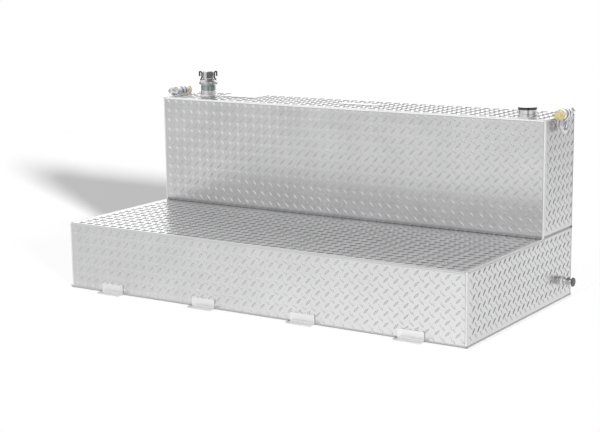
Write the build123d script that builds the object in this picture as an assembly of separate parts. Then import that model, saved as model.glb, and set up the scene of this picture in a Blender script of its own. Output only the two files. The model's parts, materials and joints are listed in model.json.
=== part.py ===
from build123d import *
import math
import os

os.makedirs("parts", exist_ok=True)

# L-shaped fuel transfer tank for a truck bed.
# X runs along the tank, -Y is the front with the low step, +Z is up.
# The origin is the centre of the underside. All sizes are in millimetres.

# Overall sizes
tank_length = 1524.0
tank_depth = 762.0
tank_height = 609.6
step_height = 228.6
tower_depth = 228.6

# Sheets
sheet = 3.2
bend_inner = 4.8
bend_outer = bend_inner + sheet

# Weld beads
bead_lap = 7.0
bead_nose = 1.0
seam_above_step = 4.0
seam_gap = 2.0
seam_width = 9.0
seam_crown = 1.2
collar_weld = 4.0
collar_weld_middle = 1.6

# Baffles
baffle_count = 3
baffle_clip = 26.0
baffle_relief = 20.0
flow_hole_d = 80.0
flow_hole_rows = 3

# Mounting feet
foot_width = 90.0
foot_height = 32.0
foot_reach = 32.0
foot_sheet = 4.0
foot_inner_radius = 3.0
foot_edge_radius = 1.0
foot_from_end = 184.5
foot_count = 4
foot_hole_d = 10.5

# Turned parts and bungs
hole_gap = 0.1
edge_break = 1.0
bung_foot_wall = 2.5
bung_foot_height = 6.4
bung_step = 1.5
bung_inside = 8.0

# Cam-lock fitting
cam_from_end = 114.0
cam_behind_middle = 12.0
cam_turn = 33.0
cam_bung_d = 57.0
cam_bung_height = 20.0
cam_thread_d = 42.0
cam_thread_length = 18.0
cam_body_d = 55.0
cam_body_height = 18.0
cam_bore_d = 32.0
spigot_d = 45.4
spigot_height = 19.0
cam_gasket_height = 2.5

# Cam-lock cap
cap_bore_gap = 0.4
cap_seat_gap = 1.0
cap_flare_above_pin = 2.0
cap_flare_land = 3.0
cap_flare_out = 5.2
cap_roof = 3.5
cap_slope_height = 3.0
cap_shoulder_wall = 3.4
cap_neck_d = 38.0
cap_neck_height = 29.5
cap_top_round = 5.0
cap_top_round_middle = 1.5
vent_width = 23.0
vent_height = 25.0
vent_depth = 3.4
vent_turn = 19.0
vent_margin = 2.5
vent_slot = 2.6
vent_slots = 4

# Cam levers
lever_pin_out = 6.1
lever_pin_below_top = 10.0
lever_pin_d = 5.1
lever_pin_length = 31.0
pin_running_gap = 0.05
groove_radius = 9.0
lobe_radius = 6.0
lobe_throw = 2.8
lever_width = 8.0
lever_side_gap = 0.6
lever_face_gap = 0.6
lever_neck_gap = 0.9
lever_boss_radius = 5.0
lever_bar_thick = 6.0
lever_bend = 1.0
lever_above_cap = -1.0
lever_hook_out = 8.8
lever_hook_thick = 5.8
lever_hook_drop = 19.0
slot_below_pin = 7.0
slot_floor = 0.5

# Screw cap over the fill opening
fill_from_end = 83.0
fill_from_front = 43.0
fill_collar_height = 12.5
fill_neck_d = 49.0
fill_neck_length = 13.0
fill_neck_wall = 4.5
fill_collar_wall = 6.5
fill_gasket_height = 2.5
thread_gap = 0.3
fill_cap_wall = 4.2
fill_rim_out = 1.2
fill_rim_height = 9.0
fill_top_plate = 7.0
fill_grips = 24
fill_grip_width = 2.6

# Drain
drain_from_back = 70.4
drain_height = 62.0
drain_bung_d = 30.0
drain_bung_length = 13.0
drain_tube_d = 21.1
drain_tube_wall = 2.65
drain_thread_in = 10.0
drain_hex_gap = 4.0
drain_hex_flats = 25.0
drain_hex_length = 11.0
drain_tube_past_hex = 5.0
drain_plug_length = 9.0
drain_washer_height = 2.0
drain_head_d = 30.0
drain_head_height = 5.0
drain_cap_edge = 1.5
drain_grips = 12
drain_grip_width = 3.0

# Lifting lugs and shackles
lug_from_middle = 18.0
lug_thick = 12.0
lug_radius = 18.0
lug_out = 19.5
lug_above = 12.0
lug_bow_gap = 1.3
lug_foot_x = 3.0
lug_slope = 30.0
shackle_rod_d = 12.7
shackle_jaw = 30.0
shackle_reach = 64.0
shackle_ear_d = 34.0
shackle_ear_extra = 1.3
shackle_pin_d = 19.0
shackle_hole_gap = 0.08
pin_collar_d = 27.0
pin_collar_length = 5.0
pin_eye_d = 34.0
pin_eye_hole_d = 15.0
pin_eye_thick = 12.0
pin_eye_bite = 2.0
pin_eye_turn = 50.0
washer_d = 34.0
washer_thick = 3.5
nut_flats = 28.6
nut_thick = 16.3
nut_chamfer_slope = 0.6
pin_tail = 2.0

# Labels on the top
label_thick = 0.5
top_label_size = (150.0, 94.0)
top_label_from_end = 251.0
top_label_from_back = 61.0
strip_label_size = (164.0, 48.0)
strip_label_from_middle = 6.0
strip_label_from_back = 102.0

# Places worked out from the sizes above
front_y = -tank_depth / 2
back_y = tank_depth / 2
tower_y = back_y - tower_depth
end_x = tank_length / 2
tower_mid_y = back_y - tower_depth / 2
seam_z = step_height + seam_above_step

# Heights and radii of the cam-lock fitting, from the tank's top and its own axis
cam_shoulder = cam_bung_height + cam_body_height
spigot_top = cam_shoulder + spigot_height
lever_pin_height = spigot_top - lever_pin_below_top
lever_pin_r = spigot_d / 2 + lever_pin_out
cap_ceiling = spigot_top + cam_gasket_height
cap_ledge = cap_ceiling + cap_roof
cap_top = cap_ledge + cap_neck_height
cap_bore = spigot_d / 2 + cap_bore_gap

# Heights of the screw cap from the tank's top, and the drain's lengths from the right end
fill_neck_top = fill_collar_height + fill_neck_length
fill_bore_d = fill_neck_d - 2 * fill_neck_wall
drain_hex_start = drain_bung_length + drain_hex_gap
drain_tube_end = drain_hex_start + drain_hex_length + drain_tube_past_hex
drain_bore_d = drain_tube_d - 2 * drain_tube_wall

# Right lug and its shackle
lug_y = tower_mid_y - lug_from_middle
shackle_ear_thick = shackle_rod_d + shackle_ear_extra


def export(solid, node):
    """Write one piece to its own file under its own name."""
    solid.label = node
    export_step(solid, f"parts/{node}.step")


def section(points, radii):
    """Face in the YZ plane from (y, z) corners, each with its own corner radius."""
    return Plane.YZ * make_face(FilletPolyline(*points, radius=radii, close=True))


def along_x(face, start, end):
    """Extrude a YZ section from one X to another."""
    return extrude(Pos(start, 0, 0) * face, end - start, dir=(1, 0, 0))


def turned(points):
    """Revolve an (r, z) outline round Z."""
    return revolve(Plane.XZ * make_face(Polyline(*points, close=True)), Axis.Z)


def rod(diameter, start, end):
    """Round bar along Z between two heights."""
    return Pos(0, 0, start) * Cylinder(
        diameter / 2, end - start, align=(Align.CENTER, Align.CENTER, Align.MIN)
    )


def hexagon(flats, start, end):
    """Hexagonal bar along Z between two heights."""
    return extrude(Pos(0, 0, start) * RegularPolygon(flats / 2, 6, major_radius=False), end - start)


def largest(shape):
    """The main solid of a cut, without the slivers it leaves."""
    return shape.solids().sort_by(SortBy.VOLUME)[-1]


def mirrored(solid):
    """The same piece on the other end of the tank."""
    return mirror(solid, about=Plane.YZ)


# Tank shell


def inner_outline():
    """Corners and radii of the hollow inside the sheets, as (y, z)."""
    points = [
        (front_y + sheet, sheet),
        (front_y + sheet, step_height - sheet),
        (tower_y + sheet, step_height - sheet),
        (tower_y + sheet, tank_height - sheet),
        (back_y - sheet, tank_height - sheet),
        (back_y - sheet, sheet),
    ]
    return points, [0, bend_inner, bend_outer, 0, bend_inner, 0]


def front_skin():
    """Lower front, step deck and tower front, folded from one sheet."""
    points = [
        (front_y, sheet),
        (front_y, step_height),
        (tower_y, step_height),
        (tower_y, tank_height - sheet),
        (tower_y + sheet, tank_height - sheet),
        (tower_y + sheet, step_height - sheet),
        (front_y + sheet, step_height - sheet),
        (front_y + sheet, sheet),
    ]
    radii = [0, bend_outer, bend_inner, 0, 0, bend_outer, bend_inner, 0]
    return along_x(section(points, radii), sheet - end_x, end_x - sheet)


def rear_skin():
    """Top and back, folded from one sheet, with a hole for each top bung."""
    points = [
        (tower_y + sheet, tank_height),
        (back_y, tank_height),
        (back_y, sheet),
        (back_y - sheet, sheet),
        (back_y - sheet, tank_height - sheet),
        (tower_y + sheet, tank_height - sheet),
    ]
    radii = [0, bend_outer, 0, 0, bend_inner, 0]
    skin = along_x(section(points, radii), sheet - end_x, end_x - sheet)
    for place, diameter in ((cam_place(), cam_bung_d), (fill_place(), fill_neck_d)):
        skin -= place * rod(bung_inside_d(diameter) + 2 * hole_gap, -2 * sheet, sheet)
    return skin


def bottom_plate():
    """Flat floor sheet."""
    return Pos(0, 0, sheet / 2) * Box(tank_length - 2 * sheet, tank_depth - 2 * sheet, sheet)


def end_sheets():
    """Lower and upper sheet of the right end, parted by the level seam."""
    face = section(*inner_outline())
    whole = along_x(face, end_x - sheet, end_x)
    below = Pos(end_x, 0, (seam_z - seam_gap / 2) / 2) * Box(
        4 * sheet, 2 * tank_depth, seam_z - seam_gap / 2
    )
    slot = Pos(end_x, 0, seam_z) * Box(4 * sheet, 2 * tank_depth, seam_gap)
    return whole & below, whole - below - slot


def baffle(x):
    """Slosh baffle with clipped corners and flow holes, welded across the tank."""
    points, _ = inner_outline()
    face = Plane.YZ * make_face(Polyline(*points, close=True))
    plate = along_x(face, x - sheet / 2, x + sheet / 2)
    for y, z in points:
        if (y, z) == points[2]:
            corner = Rot(0, 90, 0) * Cylinder(baffle_relief, 2 * sheet)
        else:
            corner = Rot(45, 0, 0) * Box(
                2 * sheet, baffle_clip * math.sqrt(2), baffle_clip * math.sqrt(2)
            )
        plate -= Pos(x, y, z) * corner
    low_z = step_height / 2
    hole = Rot(0, 90, 0) * Cylinder(flow_hole_d / 2, 2 * sheet)
    hole_pitch = tank_depth / (flow_hole_rows + 1)
    for i in range(flow_hole_rows):
        plate -= Pos(x, front_y + (i + 1) * hole_pitch, low_z) * hole
    return plate - Pos(x, tower_mid_y, (step_height + tank_height) / 2) * hole


# Weld beads


def bead_profile():
    """Corner bead as (out of sheet A, out of sheet B), zero at the true corner."""
    nose = ThreePointArc((0, -bead_lap), (-bead_nose, -bead_nose), (-bead_lap, 0))
    root = Polyline((-bead_lap, 0), (-sheet, 0), (-sheet, -sheet), (0, -sheet), (0, -bead_lap))
    return make_face([nose, root])


def corner_bead(y, z, turn):
    """Bead along X in the corner at (y, z), turned so both outs point off the tank."""
    face = Plane.YZ * (Pos(y, z) * Rot(0, 0, turn) * bead_profile())
    return along_x(face, sheet - end_x, end_x - sheet)


def weld_ring():
    """Bead round the whole outline of the right end, flush with the floor."""
    outline = FilletPolyline(
        (0, 0),
        (front_y, 0),
        (front_y, step_height),
        (tower_y, step_height),
        (tower_y, tank_height),
        (back_y, tank_height),
        (back_y, 0),
        radius=[0, 0, bend_outer, bend_inner, 0, bend_outer, 0],
        close=True,
    )
    path = Pos(end_x, 0, 0) * (Plane.YZ * outline)
    start = Plane(origin=(end_x, 0, 0), x_dir=(1, 0, 0), z_dir=(0, 1, 0))
    ring = sweep(start * bead_profile(), path=path, transition=Transition.RIGHT)
    return ring - Pos(end_x, 0, -bead_lap) * Box(4 * bead_lap, 2 * tank_depth, 2 * bead_lap)


def weld_seam(ring):
    """Level seam between the two sheets of the right end."""
    profile = make_face(
        [
            Polyline(
                (seam_width / 2, 0),
                (seam_gap / 2, 0),
                (seam_gap / 2, -sheet),
                (-seam_gap / 2, -sheet),
                (-seam_gap / 2, 0),
                (-seam_width / 2, 0),
            ),
            ThreePointArc((-seam_width / 2, 0), (0, seam_crown), (seam_width / 2, 0)),
        ]
    )
    start = Plane(origin=(end_x, tower_y + sheet, seam_z), x_dir=(0, 0, 1), z_dir=(0, 1, 0))
    length = tower_depth - 2 * sheet
    return extrude(start * profile, length, dir=(0, 1, 0)) - ring


def collar_bead(diameter):
    """Fillet weld round the foot of a bung that stands on a sheet."""
    r = diameter / 2
    middle = (r + collar_weld_middle, collar_weld_middle)
    return turned([(r, 0), (r + collar_weld, 0), middle, (r, collar_weld)])


# Mounting feet


def foot(x):
    """Welded angle with one bolt hole in its floor leg."""
    leg_y = front_y - foot_sheet
    toe_y = leg_y - foot_reach + foot_sheet
    points = [
        (front_y, 0),
        (toe_y, 0),
        (toe_y, foot_sheet),
        (leg_y, foot_sheet),
        (leg_y, foot_height),
        (front_y, foot_height),
    ]
    radii = [0, 0, foot_edge_radius, foot_inner_radius, foot_edge_radius, 0]
    angle = along_x(section(points, radii), x - foot_width / 2, x + foot_width / 2)
    return angle - Pos(x, foot_hole_y(), 0) * rod(foot_hole_d, -foot_sheet, 2 * foot_sheet)


def foot_hole_y():
    """Middle of the floor leg's clear width."""
    return front_y - foot_sheet - (foot_reach - foot_sheet) / 2


def foot_xs():
    """Centres of the feet along the tank."""
    pitch = (tank_length - 2 * foot_from_end) / (foot_count - 1)
    return [(i - (foot_count - 1) / 2) * pitch for i in range(foot_count)]


# Fittings on the top


def cam_place():
    y = tower_mid_y + cam_behind_middle
    return Pos(cam_from_end - end_x, y, tank_height) * Rot(0, 0, cam_turn)


def fill_place():
    return Pos(end_x - fill_from_end, tower_y + fill_from_front, tank_height)


def bung_inside_d(diameter):
    """Outside size of the part of a bung that passes through the sheet."""
    return diameter - 2 * bung_step


def cam_bung():
    """Welded half coupling that carries the cam-lock adapter."""
    outer, through = cam_bung_d / 2, bung_inside_d(cam_bung_d) / 2
    foot_r = cam_foot_d() / 2
    bore = cam_thread_d / 2 + hole_gap
    return turned(
        [
            (bore, -bung_inside),
            (through, -bung_inside),
            (through, 0),
            (foot_r, 0),
            (foot_r, bung_foot_height / 2),
            (outer, bung_foot_height),
            (outer, cam_bung_height - edge_break),
            (outer - edge_break, cam_bung_height),
            (bore, cam_bung_height),
        ]
    )


def cam_foot_d():
    return cam_bung_d + 2 * bung_foot_wall


def cam_adapter():
    """Male adapter: thread below, round body, grooved spigot above."""
    bore, thread, body, spigot = cam_bore_d / 2, cam_thread_d / 2, cam_body_d / 2, spigot_d / 2
    solid = turned(
        [
            (bore, cam_bung_height - cam_thread_length),
            (thread, cam_bung_height - cam_thread_length),
            (thread, cam_bung_height),
            (body, cam_bung_height),
            (body, cam_shoulder - edge_break),
            (body - edge_break, cam_shoulder),
            (spigot, cam_shoulder),
            (spigot, spigot_top - edge_break),
            (spigot - edge_break, spigot_top),
            (bore, spigot_top),
        ]
    )
    groove = Pos(lever_pin_r, lever_pin_height) * Circle(groove_radius)
    return solid - revolve(Plane.XZ * groove, Axis.Z)


def cam_gasket():
    """Flat ring between the spigot and the cap."""
    return rod(spigot_d, spigot_top, cap_ceiling) - rod(cam_bore_d, 0, 2 * cap_ceiling)


def each_side():
    """Turns that put a piece made at +X on both sides of the fitting."""
    return {"right": Rot(0, 0, 0), "left": Rot(0, 0, 180)}


def cam_cap():
    """Vented dust cap with a flared skirt, two lever slots and a vent window."""
    skirt_foot = cam_shoulder + cap_seat_gap
    flare, neck = lever_pin_r + cap_flare_out, cap_neck_d / 2
    flare_height = lever_pin_height + cap_flare_above_pin
    cap = turned(
        [
            (0, cap_ceiling),
            (cap_bore, cap_ceiling),
            (cap_bore, skirt_foot),
            (cam_body_d / 2 + cap_bore_gap, skirt_foot),
            (flare, flare_height),
            (flare, flare_height + cap_flare_land),
            (cap_bore + cap_shoulder_wall, cap_ledge - cap_slope_height),
            (neck, cap_ledge),
            (neck, cap_top - cap_top_round),
            (neck - cap_top_round_middle, cap_top - cap_top_round_middle),
            (neck - cap_top_round, cap_top),
            (0, cap_top),
        ]
    )
    width = lever_width + 2 * lever_side_gap
    slot_foot = lever_pin_height - slot_below_pin
    low_slot = Pos(neck, 0, slot_foot) * Box(
        flare, width, spigot_top - slot_foot, align=(Align.MIN, Align.CENTER, Align.MIN)
    )
    high_slot = Pos(cap_bore + slot_floor, 0, slot_foot) * Box(
        flare, width, cap_top - slot_foot, align=(Align.MIN, Align.CENTER, Align.MIN)
    )
    pin_hole = lever_pin_place() * rod(lever_pin_d + pin_running_gap, -flare, flare)
    for turn in each_side().values():
        cap -= turn * (low_slot + high_slot + pin_hole)
    return cap - vent_window()


def vent_window():
    """Recess with upright slots in the front of the cap's neck."""
    middle = (cap_ledge + cap_top - cap_top_round / 2) / 2
    front = Rot(0, 0, vent_turn) * Pos(0, -cap_neck_d / 2, middle)
    window = front * Box(vent_width, 2 * vent_depth, vent_height)
    pitch = vent_width / vent_slots
    for i in range(vent_slots):
        x = (i - (vent_slots - 1) / 2) * pitch
        slot = Box(vent_slot, 4 * vent_depth, vent_height - 2 * vent_margin)
        window += front * Pos(x, 0, 0) * slot
    return window


def lever_pin_place():
    """Frame of the lever pin on the +X side, with Z along the pin."""
    return Pos(lever_pin_r, 0, lever_pin_height) * Rot(90, 0, 0)


def cam_lever():
    """Cam lever on the +X side, closed: lobe in the groove, hook at the top."""
    low_in = cap_bore + slot_floor + lever_face_gap
    low_out = low_in + lever_bar_thick
    bar_in = cap_neck_d / 2 + lever_neck_gap
    bar_out = bar_in + lever_bar_thick
    top = cap_top + lever_above_cap
    bar_top = top - lever_hook_thick
    hook_in = bar_out + lever_hook_out - lever_hook_thick
    hook_out = bar_out + lever_hook_out
    bend_low = cap_ledge - cap_slope_height + lever_bend
    bend_high = cap_ledge + cap_slope_height
    bar = Polyline(
        (low_in, lever_pin_height),
        (low_in, bend_low),
        (bar_in, bend_high),
        (bar_in, bar_top),
        (bar_in + lever_hook_thick, top),
        (hook_out - lever_hook_thick / 2, top),
        (hook_out, top - lever_hook_thick / 2),
        (hook_out, top - lever_hook_drop),
        (hook_in, top - lever_hook_drop),
        (hook_in, bar_top),
        (bar_out, bar_top),
        (bar_out, bend_high + lever_bend),
        (low_out, bend_low),
        (low_out, lever_pin_height),
        close=True,
    )
    profile = make_face(bar)
    profile += Pos(lever_pin_r - lobe_throw, lever_pin_height) * Circle(lobe_radius)
    profile += Pos(lever_pin_r, lever_pin_height) * Circle(lever_boss_radius)
    profile -= Pos(lever_pin_r, lever_pin_height) * Circle(lever_pin_d / 2 + pin_running_gap)
    return extrude(Plane.XZ * profile, lever_width / 2, both=True)


def lever_pin():
    """Pin of the lever on the +X side."""
    return lever_pin_place() * rod(lever_pin_d, -lever_pin_length / 2, lever_pin_length / 2)


def grips(count, radius, width, start, end):
    """V-shaped grip notches for the edge of a cap."""
    notch = extrude(Pos(radius, 0, start) * RegularPolygon(width / 2, 4), end - start)
    return [Rot(0, 0, i * 360 / count) * notch for i in range(count)]


def fill_collar_d():
    return fill_neck_d + 2 * fill_collar_wall


def fill_bung():
    """Welded collar with the neck that the cap screws onto."""
    foot_r, neck, bore = fill_collar_d() / 2, fill_neck_d / 2, fill_bore_d / 2
    through = bung_inside_d(fill_neck_d) / 2
    return turned(
        [
            (bore, -bung_inside),
            (through, -bung_inside),
            (through, 0),
            (foot_r, 0),
            (foot_r, fill_collar_height - edge_break),
            (foot_r - edge_break, fill_collar_height),
            (neck, fill_collar_height),
            (neck, fill_neck_top - edge_break),
            (neck - edge_break, fill_neck_top),
            (bore, fill_neck_top),
        ]
    )


def fill_gasket():
    """Flat ring held in the cap, pressed on the neck."""
    top = fill_neck_top + fill_gasket_height
    return rod(fill_neck_d - 2 * edge_break, fill_neck_top, top) - rod(fill_bore_d, 0, 2 * top)


def fill_cap():
    """Screw cap with a gripped rim."""
    inside = fill_neck_d / 2 + thread_gap
    skirt = inside + fill_cap_wall
    rim = skirt + fill_rim_out
    skirt_foot = fill_collar_height + thread_gap
    ceiling = fill_neck_top + fill_gasket_height
    top = ceiling + fill_top_plate
    rim_foot = top - fill_rim_height
    cap = turned(
        [
            (0, ceiling),
            (inside, ceiling),
            (inside, skirt_foot),
            (skirt, skirt_foot),
            (skirt, rim_foot),
            (rim, rim_foot),
            (rim, top - edge_break),
            (rim - edge_break, top),
            (0, top),
        ]
    )
    return cap - grips(fill_grips, rim, fill_grip_width, rim_foot - edge_break, top + edge_break)


# Drain, made along Z and turned to point out of the right end


def drain_place():
    return Pos(end_x, back_y - drain_from_back, drain_height) * Rot(0, 90, 0)


def drain_bung():
    outer, through = drain_bung_d / 2, bung_inside_d(drain_bung_d) / 2
    bore = drain_tube_d / 2 + hole_gap
    return turned(
        [
            (bore, -bung_inside),
            (through, -bung_inside),
            (through, 0),
            (outer, 0),
            (outer, drain_bung_length - edge_break),
            (outer - edge_break, drain_bung_length),
            (bore, drain_bung_length),
        ]
    )


def drain_nipple():
    """Threaded tube with a hexagon for the wrench."""
    tube = rod(drain_tube_d, drain_bung_length - drain_thread_in, drain_tube_end)
    tube += hexagon(drain_hex_flats, drain_hex_start, drain_hex_start + drain_hex_length)
    return tube - rod(drain_bore_d, -drain_tube_end, 2 * drain_tube_end)


def drain_washer():
    end = drain_tube_end + drain_washer_height
    return rod(drain_tube_d, drain_tube_end, end) - rod(drain_bore_d, 0, 2 * end)


def drain_cap():
    """Plug with a gripped round head, screwed into the end of the drain tube."""
    plug, head = drain_bore_d / 2 - thread_gap, drain_head_d / 2
    plug_start = drain_tube_end - drain_plug_length
    head_start = drain_tube_end + drain_washer_height
    head_end = head_start + drain_head_height
    solid = turned(
        [
            (0, plug_start),
            (plug, plug_start),
            (plug, head_start),
            (head, head_start),
            (head, head_end - drain_cap_edge),
            (head - drain_cap_edge, head_end),
            (0, head_end),
        ]
    )
    grip_start, grip_end = head_start - edge_break, head_end + edge_break
    return solid - grips(drain_grips, head, drain_grip_width, grip_start, grip_end)


# Lifting lugs and shackles, made for the right end with the pin along Y


def pin_place():
    """Frame of the shackle pin, with Z along the pin towards the back."""
    return Pos(end_x + lug_out, lug_y, tank_height + lug_above) * Rot(-90, 0, 0)


def lug():
    """Welded plate with a rounded nose round the pin hole."""
    x, z = end_x + lug_out, tank_height + lug_above
    inside_bow = shackle_reach - shackle_rod_d - lug_bow_gap
    foot_z = z - math.sqrt(inside_bow**2 - lug_out**2)
    slope = math.radians(lug_slope)
    nose = Pos(x, z) * Circle(lug_radius)
    root = make_face(
        Polyline(
            (end_x, foot_z),
            (end_x + lug_foot_x, foot_z),
            (x + lug_radius * math.cos(slope), z - lug_radius * math.sin(slope)),
            (x, z),
            (end_x, z),
            close=True,
        )
    )
    outside = Pos(end_x, z) * Rectangle(
        4 * lug_radius, 4 * shackle_reach, align=(Align.MIN, Align.CENTER)
    )
    profile = (nose + root) & outside
    profile -= Pos(x, z) * Circle(shackle_pin_d / 2 + shackle_hole_gap)
    return Pos(0, lug_y, 0) * extrude(Plane.XZ * profile, lug_thick / 2, both=True)


def shackle_bow():
    """D-shaped bow that hangs from the pin, with a drilled ear on each leg."""
    leg_y = (shackle_jaw + shackle_ear_thick) / 2
    bend_z = shackle_reach - shackle_rod_d / 2 - leg_y
    path = Polyline((0, -leg_y, 0), (0, -leg_y, -bend_z)) + ThreePointArc(
        (0, -leg_y, -bend_z), (0, 0, -bend_z - leg_y), (0, leg_y, -bend_z)
    )
    path += Line((0, leg_y, -bend_z), (0, leg_y, 0))
    bow = sweep(Pos(0, -leg_y, 0) * Circle(shackle_rod_d / 2), path=path)
    ear = Rot(90, 0, 0) * Cylinder(shackle_ear_d / 2, shackle_ear_thick)
    hole = Rot(90, 0, 0) * Cylinder(shackle_pin_d / 2 + shackle_hole_gap, 4 * leg_y)
    for y in (-leg_y, leg_y):
        bow += Pos(0, y, 0) * ear
    return Pos(end_x + lug_out, lug_y, tank_height + lug_above) * (bow - hole)


def ear_face():
    """Distance from the lug's middle to the outer face of an ear."""
    return shackle_jaw / 2 + shackle_ear_thick


def shackle_pin():
    """Pin with a collar and a flat eye at the back, thread at the front."""
    tail = ear_face() + washer_thick + nut_thick + pin_tail
    collar_end = ear_face() + pin_collar_length
    eye_z = collar_end + pin_eye_d / 2 - pin_eye_bite
    eye_place = Pos(0, 0, eye_z) * Rot(0, 0, pin_eye_turn) * Rot(0, 90, 0)
    pin = rod(shackle_pin_d, -tail, collar_end) + rod(pin_collar_d, ear_face(), collar_end)
    pin += eye_place * Cylinder(pin_eye_d / 2, pin_eye_thick)
    pin -= eye_place * Cylinder(pin_eye_hole_d / 2, 2 * pin_eye_thick)
    return pin_place() * pin


def shackle_washer():
    ring = rod(washer_d, -ear_face() - washer_thick, -ear_face())
    return pin_place() * (ring - rod(shackle_pin_d + 2 * shackle_hole_gap, -2 * ear_face(), 0))


def shackle_nut():
    """Hexagon nut with chamfered corners."""
    start = -ear_face() - washer_thick
    nut = hexagon(nut_flats, start - nut_thick, start)
    corners = nut_flats / math.sqrt(3)
    cone = turned(
        [
            (0, start - nut_thick),
            (nut_flats / 2, start - nut_thick),
            (corners, start - nut_thick + (corners - nut_flats / 2) * nut_chamfer_slope),
            (corners, start),
            (0, start),
        ]
    )
    nut = (nut & cone) - rod(shackle_pin_d + 2 * shackle_hole_gap, 2 * start - nut_thick, 0)
    return pin_place() * nut


def label(size, x, from_back):
    """Blank adhesive label on the top sheet."""
    return Pos(x, back_y - from_back, tank_height + label_thick / 2) * Box(*size, label_thick)


# Build every piece and write it out

export(front_skin(), "front_skin")
export(rear_skin(), "rear_skin")
export(bottom_plate(), "bottom_plate")

lower_end, upper_end = end_sheets()
drain_hole = drain_place() * rod(bung_inside_d(drain_bung_d) + 2 * hole_gap, -2 * sheet, sheet)
export(lower_end - drain_hole, "lower_end_right")
export(upper_end, "upper_end_right")
export(mirrored(lower_end), "lower_end_left")
export(mirrored(upper_end), "upper_end_left")

for i in range(baffle_count):
    baffle_pitch = tank_length / (baffle_count + 1)
    export(baffle((i + 1) * baffle_pitch - end_x), f"baffle_{i + 1}")

end_for_end = Pos(0, tower_mid_y, 0) * Rot(0, 0, 180) * Pos(0, -tower_mid_y, 0)
ring_right = weld_ring() - lug()
ring_left = mirrored(weld_ring()) - end_for_end * lug()
seam_right = weld_seam(ring_right)
feet = [foot(x) for x in foot_xs()]
export(ring_right, "weld_ring_right")
export(ring_left, "weld_ring_left")
export(seam_right, "weld_seam_right")
export(mirrored(seam_right), "weld_seam_left")
rings = [ring_right, ring_left]
export(largest(corner_bead(tower_y, tank_height, 90) - rings), "weld_top_front")
floor_cut = Pos(0, 0, -bead_lap) * Box(2 * tank_length, 2 * tank_depth, 2 * bead_lap)
export(largest(corner_bead(front_y, 0, 180) - rings - feet - floor_cut), "weld_bottom_front")
export(largest(corner_bead(back_y, 0, 270) - rings - floor_cut), "weld_bottom_rear")

for i, solid in enumerate(feet):
    export(solid, f"foot_{i + 1}")

export(cam_place() * cam_bung(), "cam_bung")
export(cam_place() * collar_bead(cam_foot_d()), "cam_bung_weld")
export(cam_place() * cam_adapter(), "cam_adapter")
export(cam_place() * cam_gasket(), "cam_gasket")
export(cam_place() * cam_cap(), "cam_cap")
for side, turn in each_side().items():
    export(cam_place() * turn * cam_lever(), f"cam_lever_{side}")
    export(cam_place() * turn * lever_pin(), f"cam_pin_{side}")

export(fill_place() * fill_bung(), "fill_bung")
export(fill_place() * collar_bead(fill_collar_d()), "fill_bung_weld")
export(fill_place() * fill_gasket(), "fill_gasket")
export(fill_place() * fill_cap(), "fill_cap")

export(drain_place() * drain_bung(), "drain_bung")
export(drain_place() * collar_bead(drain_bung_d), "drain_bung_weld")
export(drain_place() * drain_nipple(), "drain_nipple")
export(drain_place() * drain_washer(), "drain_washer")
export(drain_place() * drain_cap(), "drain_cap")

lifting = {
    "lug": lug(),
    "shackle": shackle_bow(),
    "shackle_pin": shackle_pin(),
    "shackle_washer": shackle_washer(),
    "shackle_nut": shackle_nut(),
}
for node, solid in lifting.items():
    export(solid, f"{node}_right")
    export(end_for_end * solid, f"{node}_left")

top_label_x = top_label_from_end - end_x
export(label(top_label_size, top_label_x, top_label_from_back), "top_label")
export(label(strip_label_size, strip_label_from_middle, strip_label_from_back), "strip_label")
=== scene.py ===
import json
import math

import bpy
import numpy as np
from mathutils import Matrix, Vector


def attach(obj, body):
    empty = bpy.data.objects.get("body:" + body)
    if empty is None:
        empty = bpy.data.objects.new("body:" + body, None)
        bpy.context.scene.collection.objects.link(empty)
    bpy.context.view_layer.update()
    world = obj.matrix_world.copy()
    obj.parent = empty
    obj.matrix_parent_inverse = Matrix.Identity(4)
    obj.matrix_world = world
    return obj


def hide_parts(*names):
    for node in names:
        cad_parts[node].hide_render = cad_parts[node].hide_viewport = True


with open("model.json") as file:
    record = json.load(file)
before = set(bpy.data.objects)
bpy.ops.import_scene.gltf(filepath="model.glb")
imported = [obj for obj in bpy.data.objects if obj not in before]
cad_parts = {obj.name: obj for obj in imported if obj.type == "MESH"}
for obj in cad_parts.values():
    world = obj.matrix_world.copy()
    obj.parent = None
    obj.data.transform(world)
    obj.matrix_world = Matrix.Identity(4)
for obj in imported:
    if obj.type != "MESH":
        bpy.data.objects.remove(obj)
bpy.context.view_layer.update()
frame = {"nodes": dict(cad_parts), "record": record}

# Sizes in metres, the same as the CAD part's.
LENGTH = 1.524
DEPTH = 0.762
HEIGHT = 0.6096
STEP = 0.2286
TOWER = 0.2286
SHEET = 0.0032
BEND_IN = 0.0048
BEND_OUT = BEND_IN + SHEET
END_X = LENGTH / 2
FRONT_Y = -DEPTH / 2
BACK_Y = DEPTH / 2
TOWER_Y = BACK_Y - TOWER
TOWER_MID_Y = BACK_Y - TOWER / 2
SEAM_Z = STEP + 0.004

# Tread pattern: a square lattice with two crossed marks in each cell.
TREAD_PITCH = 0.0346
MARK_LENGTH = 0.0265
MARK_WIDTH = 0.0074
MARK_HEIGHT = 0.0018
MARK_SINK = 0.0003
MARK_POINTS = 12
MARK_ROUNDNESS = 1.7
MARK_END_SLOPE = 1.6
MARK_RINGS = ((0.0, 0.0), (0.42, 0.8), (0.8, 1.0))
EDGE_FADE = 0.004
FOLD_HALF = 0.0055
ABOVE_SEAM = 0.005

# Painted shade: how far it reaches from the fold behind the step, and how strong it is there and
# at the feet of the marks
FOLD_REACH = 0.012
FOLD_SHADE = 3.6
MARK_SHADE = 3.3

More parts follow.
